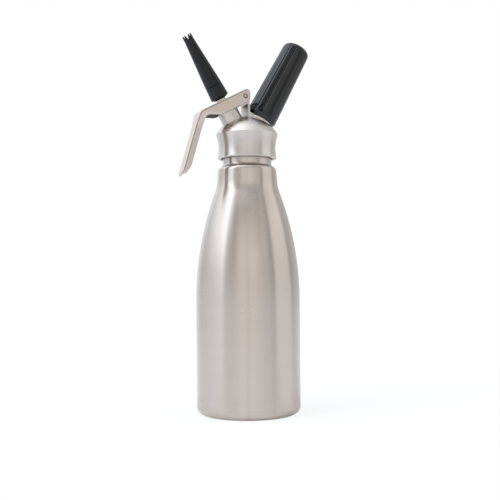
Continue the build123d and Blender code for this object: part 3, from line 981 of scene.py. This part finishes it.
class Storey(Enum):
    """The room's walls at four heights, as light that changes from stop to stop.

    Each has its elevation, how cool its light is to the left, in front and to the right, and
    stops of azimuth from the camera and brightness. A bright panel stands to the left and a
    dimmer, narrower one to the right, with dark gaps beside them. Two soft boxes in front meet
    in a narrow dark slot, and above them the wall is dark.
    """

    LOW = (
        6.0,
        (1.0, -0.3, 0.1),
        ((-180, 0.65), (-150, 0.95), (-130, 0.70), (-60, 0.80), (-53, 0.60), (-35, 0.60))
        + ((-10, 0.85), (-4, 0.85), (0, 0.50), (4, 0.85), (15, 0.80), (45, 0.60))
        + ((61, 0.40), (66, 0.85), (108, 0.80), (113, 0.45), (135, 0.65)),
    )
    MIDDLE = (
        24.0,
        (1.3, -0.3, 0.1),
        ((-180, 0.50), (-145, 1.30), (-130, 1.00), (-60, 2.10), (-54, 0.60), (-35, 0.55))
        + ((-20, 1.20), (15, 1.30), (35, 0.95), (47, 0.90), (60, 0.40), (66, 1.10))
        + ((108, 1.20), (113, 0.70), (160, 0.60)),
    )
    HIGH = (
        39.0,
        (1.3, -0.2, 0.1),
        ((-180, 0.30), (-145, 1.10), (-90, 1.35), (-60, 2.50), (-45, 0.20), (-30, 0.05))
        + ((35, 0.20), (48, 0.45), (62, 0.35), (66, 0.80), (108, 0.95), (113, 0.70))
        + ((160, 0.50),),
    )
    TOP = (
        60.0,
        (0.9, 0.8, 0.8),
        ((-180, 0.40), (-60, 2.80), (-15, 1.35), (20, 0.90), (105, 0.85), (140, 0.60)),
    )

    @property
    def elevation(self) -> float:
        """The storey's elevation, in radians."""
        return math.radians(self.value[0])

    def paint(self, tree: bpy.types.NodeTree, azimuth: bpy.types.Node) -> bpy.types.Node:
        """The storey's light for each azimuth, as a share of the brightest that a ramp holds.

        Args:
            tree: the node tree that it goes into.
            azimuth: the node that gives the azimuth from the camera, from 0 to 1.

        Returns:
            The node that gives the light.
        """
        _, (left, front, right), marks = self.value
        stops = []
        for turn, level in marks:
            cool = left if turn <= -FRONT_REACH else right if turn >= FRONT_REACH else front
            stops.append((turn / 360 + 0.5, level, cool))
        return light_ramp(tree, azimuth.outputs["Fac"], stops)


def light_ramp(
    tree: bpy.types.NodeTree,
    share: bpy.types.Node | bpy.types.NodeSocket,
    stops: list[tuple[float, float, float]],
) -> bpy.types.Node:
    """Light that changes from stop to stop, as a share of the brightest that a ramp holds.

    Args:
        tree: the node tree that it goes into.
        share: the node or socket that says where between 0 and 1 a direction lies.
        stops: for each stop its place, its brightness, and its coolness, from 0 for white
            light to 1 for a little blue.

    Returns:
        The node that gives the light.
    """
    node = add(tree, "ValToRGB", {"Fac": share})
    ramp = node.color_ramp
    while len(ramp.elements) > 1:
        ramp.elements.remove(ramp.elements[-1])
    for index, (place, level, cool) in enumerate(stops):
        stop = ramp.elements[0] if index == 0 else ramp.elements.new(place)
        stop.position = place
        tint = (1.0, 1.0 + COOL_GREEN * cool, 1.0 + COOL_BLUE * cool)
        stop.color = (*(level * part / BRIGHTEST for part in tint), 1.0)
    return node


def round_object(
    tree: bpy.types.NodeTree, direction: bpy.types.NodeSocket, facing: float
) -> tuple[bpy.types.Node, bpy.types.Node]:
    """Directions turned so that the camera stands on the +X side, and their azimuth.

    Args:
        tree: the node tree that it goes into.
        direction: the directions, or places round the object.
        facing: the camera's azimuth, in degrees.

    Returns:
        The turned directions' node, and the node whose factor is the azimuth from 0 to 1.
    """
    turn = math.radians(90.0 - facing)
    turned = add(tree, "Mapping", {"Vector": direction, "Rotation": (0.0, 0.0, turn)})
    return turned, add(tree, "TexGradient", {"Vector": turned}, gradient_type="RADIAL")


@dataclass(frozen=True)
class Studio:
    """White room: a pale floor that keeps the shadow, and walls that give metal its bands.

    Lengths are in millimetres and angles in degrees.

    Args:
        facing: the camera's azimuth.
        floor_glow_near: how white the floor is to the eye beside the object, where 1 is white.
        floor_glow_start: how far out from there it grows whiter.
        floor_glow_reach: how far out it is white.
        floor_painted_reflection: the share of a painted reflection of the low walls, glowing in
        the floor, in what metal sees of it.
        ceiling: for each stop, how far towards the bright side and how bright.
        ceiling_side: the azimuth of the bright side from the camera.
        ceiling_height: the elevation above which there is only ceiling.
    """

    facing: float = -20.5
    floor_size: float = 6000.0
    floor_paint: str = "#e4e6ea"
    floor_glow_near: float = 0.85
    floor_glow_start: float = 120.0
    floor_glow_reach: float = 450.0
    floor_painted_reflection: float = 0.3
    ceiling: tuple[tuple[float, float], ...] = (
        ((-0.95, 0.40), (-0.5, 0.75), (-0.15, 1.05), (0.15, 1.45), (0.5, 2.1))
    )
    ceiling_cool: float = 0.9
    ceiling_side: float = -50.0
    ceiling_height: float = 78.0
    boxes: tuple[SoftBox, ...] = (
        SoftBox("key", -75.0, 38.0, 1300.0, 700.0, 9.0),
        SoftBox("fill", 70.0, 25.0, 1500.0, 600.0, 5.0),
    )

    def lay_floor(self) -> None:
        """Lay the floor, white to the eye but for the object's own shadow."""
        mesh = bpy.data.meshes.new("floor")
        shape = bmesh.new()
        bmesh.ops.create_grid(shape, x_segments=1, y_segments=1, size=self.floor_size / 2 * MM)
        shape.to_mesh(mesh)
        shape.free()
        floor = bpy.data.objects.new("floor", mesh)
        bpy.context.scene.collection.objects.link(floor)
        mesh.materials.append(self.paint_floor())

    def paint_floor(self) -> bpy.types.Material:
        """Make the floor's paint: for metal it glows a little with a painted reflection of the low
        walls.

        Returns:
            The new material.
        """
        material = bpy.data.materials.new("painted_floor")
        material.use_nodes = True
        tree = material.node_tree
        tree.nodes.clear()
        paint = add(tree, "BsdfDiffuse", {"Color": linear(self.floor_paint)})
        glow = add(tree, "Emission", {"Color": linear("#ffffff"), "Strength": 1.0})
        place = add(tree, "TexCoord").outputs["Object"]
        away = add(tree, "VectorMath", {0: place}, operation="LENGTH")
        share = add(
            tree,
            "MapRange",
            {
                "Value": away.outputs["Value"],
                "From Min": self.floor_glow_start * MM,
                "From Max": self.floor_glow_reach * MM,
                "To Min": self.floor_glow_near,
                "To Max": 1.0,
            },
        )
        path = add(tree, "LightPath").outputs["Is Camera Ray"]
        seen = add(tree, "Math", {0: share, 1: path}, operation="MULTIPLY")
        # For glossy rays the floor glows with a painted reflection of the low walls, mixed into its
        # paint.
        _, azimuth = round_object(tree, place, self.facing)
        walls = Storey.LOW.paint(tree, azimuth)
        painted_wall_reflection = add(tree, "Emission", {"Color": walls, "Strength": BRIGHTEST})
        paint_and_painted_reflection = add(tree, "MixShader", {0: self.floor_painted_reflection, 1: paint, 2: painted_wall_reflection})
        mirrored = add(tree, "LightPath").outputs["Is Glossy Ray"]
        painted = add(tree, "MixShader", {0: mirrored, 1: paint, 2: paint_and_painted_reflection})
        both = add(tree, "MixShader", {0: seen, 1: painted, 2: glow})
        add(tree, "OutputMaterial", {"Surface": both})
        return material

    def overhead(self, tree: bpy.types.NodeTree, turned: bpy.types.Node) -> bpy.types.Node:
        """The ceiling: bright to the front and left, dim behind the object.

        Args:
            tree: the room's node tree.
            turned: the directions, turned so that the camera stands on the +X side.

        Returns:
            The node that gives the light.
        """
        turn = math.radians(self.ceiling_side)
        toward = add(
            tree,
            "VectorMath",
            {0: turned, 1: (math.cos(turn), math.sin(turn), 0.0)},
            operation="DOT_PRODUCT",
        )
        share = add(
            tree,
            "MapRange",
            {"Value": toward.outputs["Value"], "From Min": -1.0, "From Max": 1.0},
        )
        stops = [((side + 1) / 2, level, self.ceiling_cool) for side, level in self.ceiling]
        return light_ramp(tree, share, stops)

    def paint_room(self) -> None:
        """Make the walls, storey over storey, and the ceiling: plain white to the eye."""
        world = bpy.data.worlds.new("room")
        world.use_nodes = True
        bpy.context.scene.world = world
        tree = world.node_tree
        tree.nodes.clear()
        place = add(tree, "TexCoord").outputs["Generated"]
        turned, azimuth = round_object(tree, place, self.facing)
        rise = add(tree, "SeparateXYZ", {"Vector": place}).outputs["Z"]
        elevation = add(tree, "Math", {0: rise}, operation="ARCSINE")
        layers = [(storey.paint(tree, azimuth), storey.elevation) for storey in Storey]
        layers.append((self.overhead(tree, turned), math.radians(self.ceiling_height)))
        light, start = layers[0]
        for layer, end in layers[1:]:
            share = add(
                tree,
                "MapRange",
                {"Value": elevation, "From Min": start, "From Max": end},
                interpolation_type="SMOOTHSTEP",
            )
            light = add(tree, "Mix", {"Factor": share, "A": light, "B": layer}, data_type="RGBA")
            start = end
        full = add(tree, "VectorMath", {0: light, "Scale": BRIGHTEST}, operation="SCALE")
        path = add(tree, "LightPath").outputs["Is Camera Ray"]
        colour = add(
            tree, "Mix", {"Factor": path, "A": full, "B": linear("#ffffff")}, data_type="RGBA"
        )
        background = add(tree, "Background", {"Color": colour, "Strength": 1.0})
        add(tree, "OutputWorld", {"Surface": background})

    def build(self) -> None:
        """Make the floor, the room and the lamps."""
        bpy.context.scene.view_settings.view_transform = "Standard"
        self.lay_floor()
        self.paint_room()
        for box in self.boxes:
            box.place()
        LOG.info("studio: floor, room and %d soft boxes", len(self.boxes))


def main() -> None:
    """Build the camera, the studio and the units, in that order."""
    logging.basicConfig(level=logging.INFO, format="%(name)s: %(message)s")
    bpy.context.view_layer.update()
    units = (
        StudioCamera(),
        Studio(),
        BottleUnit(),
        HeadUnit(),
        LeverUnit(),
        ValveUnit(),
        NozzleUnit(),
        ChargerUnit(),
    )
    for unit in units:
        unit.build()


if __name__ == "__main__":
    main()
